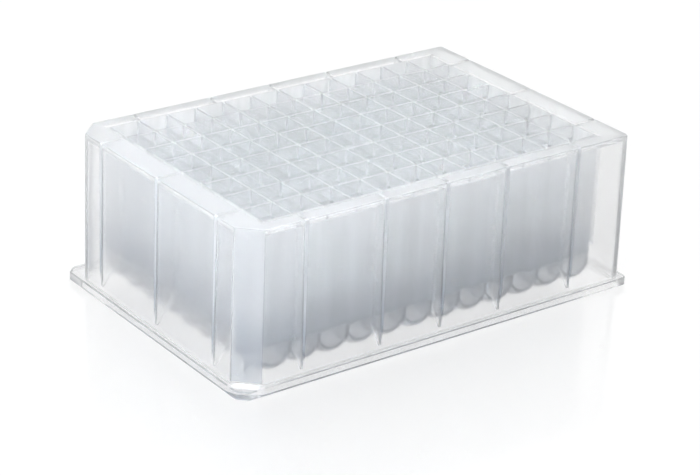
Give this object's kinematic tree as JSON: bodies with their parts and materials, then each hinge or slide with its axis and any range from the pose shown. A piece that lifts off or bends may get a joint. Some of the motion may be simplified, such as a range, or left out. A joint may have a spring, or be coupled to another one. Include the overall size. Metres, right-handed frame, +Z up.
{
  "type": "well plate",
  "caption": "Translucent deep-well plate: a drafted box on a low flange, open below, with a grid of square, round-bottomed wells open at the top for holding and stacking liquid samples.",
  "frame": {"origin": "middle of the footprint, on the surface the plate stands on", "axes": "+X along the length, away from the end with the two chamfered corners; +Y along the width; +Z up out of the wells"},
  "size_m": [0.1278, 0.0854, 0.044],
  "materials": {
    "natural_polypropylene": "milky translucent, faintly cool, low gloss as moulded"
  },
  "bodies": {
    "root": {"well_plate": "natural_polypropylene"}
  },
  "joints": []
}
